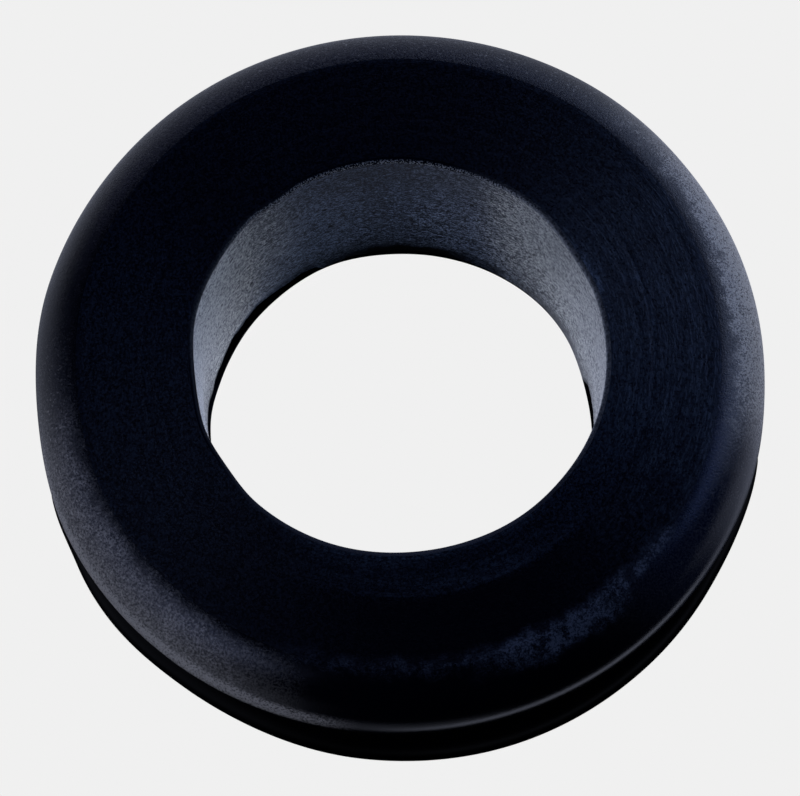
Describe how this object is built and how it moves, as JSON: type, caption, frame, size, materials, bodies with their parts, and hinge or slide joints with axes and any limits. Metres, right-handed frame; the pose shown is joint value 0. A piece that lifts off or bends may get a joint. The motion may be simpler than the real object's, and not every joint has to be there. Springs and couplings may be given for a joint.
{
  "type": "rubber grommet",
  "caption": "Round black rubber grommet: rounded flanges with a panel groove between them, and a plain bore that guides a cable, hose or pipe through a hole in a panel.",
  "frame": {"origin": "centre of the lower end face, on the axis of the bore", "axes": "+Z along the bore, from the lower end face to the upper one; the part is round about Z, so X and Y are alike"},
  "size_m": [0.045, 0.045, 0.015],
  "materials": {
    "rubber": "black, satin on the ground end faces and bore, finely grained and slightly bloomed on the moulded shoulders"
  },
  "bodies": {
    "root": {"grommet": "rubber"}
  },
  "joints": []
}
